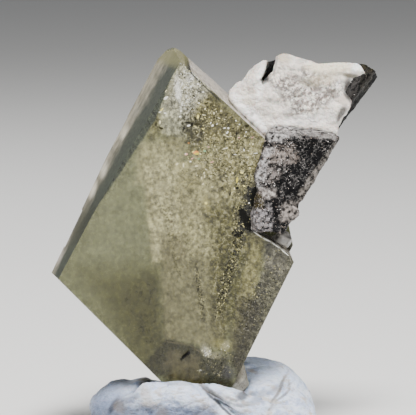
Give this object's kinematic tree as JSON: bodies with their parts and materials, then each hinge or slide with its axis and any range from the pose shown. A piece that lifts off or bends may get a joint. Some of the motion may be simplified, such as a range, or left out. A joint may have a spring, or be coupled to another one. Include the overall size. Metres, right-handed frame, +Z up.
{
  "type": "herderite crystal specimen with schorl on putty",
  "caption": "Lozenge-shaped milky green herderite crystal with black schorl prisms, white albite crust and a lump of mounting putty as its stand",
  "frame": {"origin": "middle of the plan, at the level of the putty's flat underside", "axes": "+Z up, +X to the right of the front face, +Y away from the viewer"},
  "size_m": [0.0395, 0.0225, 0.0471],
  "materials": {
    "herderite": "milky translucent crystal, glassy faces",
    "schorl": "black, frosted and striated",
    "albite": "sugary white crust",
    "quartz": "grey translucent grain",
    "matrix": "dull tan rock",
    "putty": "soft matte putty with fine folds"
  },
  "bodies": {
    "root": {"herderite_crystal": "herderite", "schorl_long": "schorl", "schorl_short": "schorl", "schorl_needle": "schorl", "albite_crust": "albite", "quartz_grain": "quartz", "matrix_chip": "matrix", "putty_stand": "putty"}
  },
  "joints": []
}
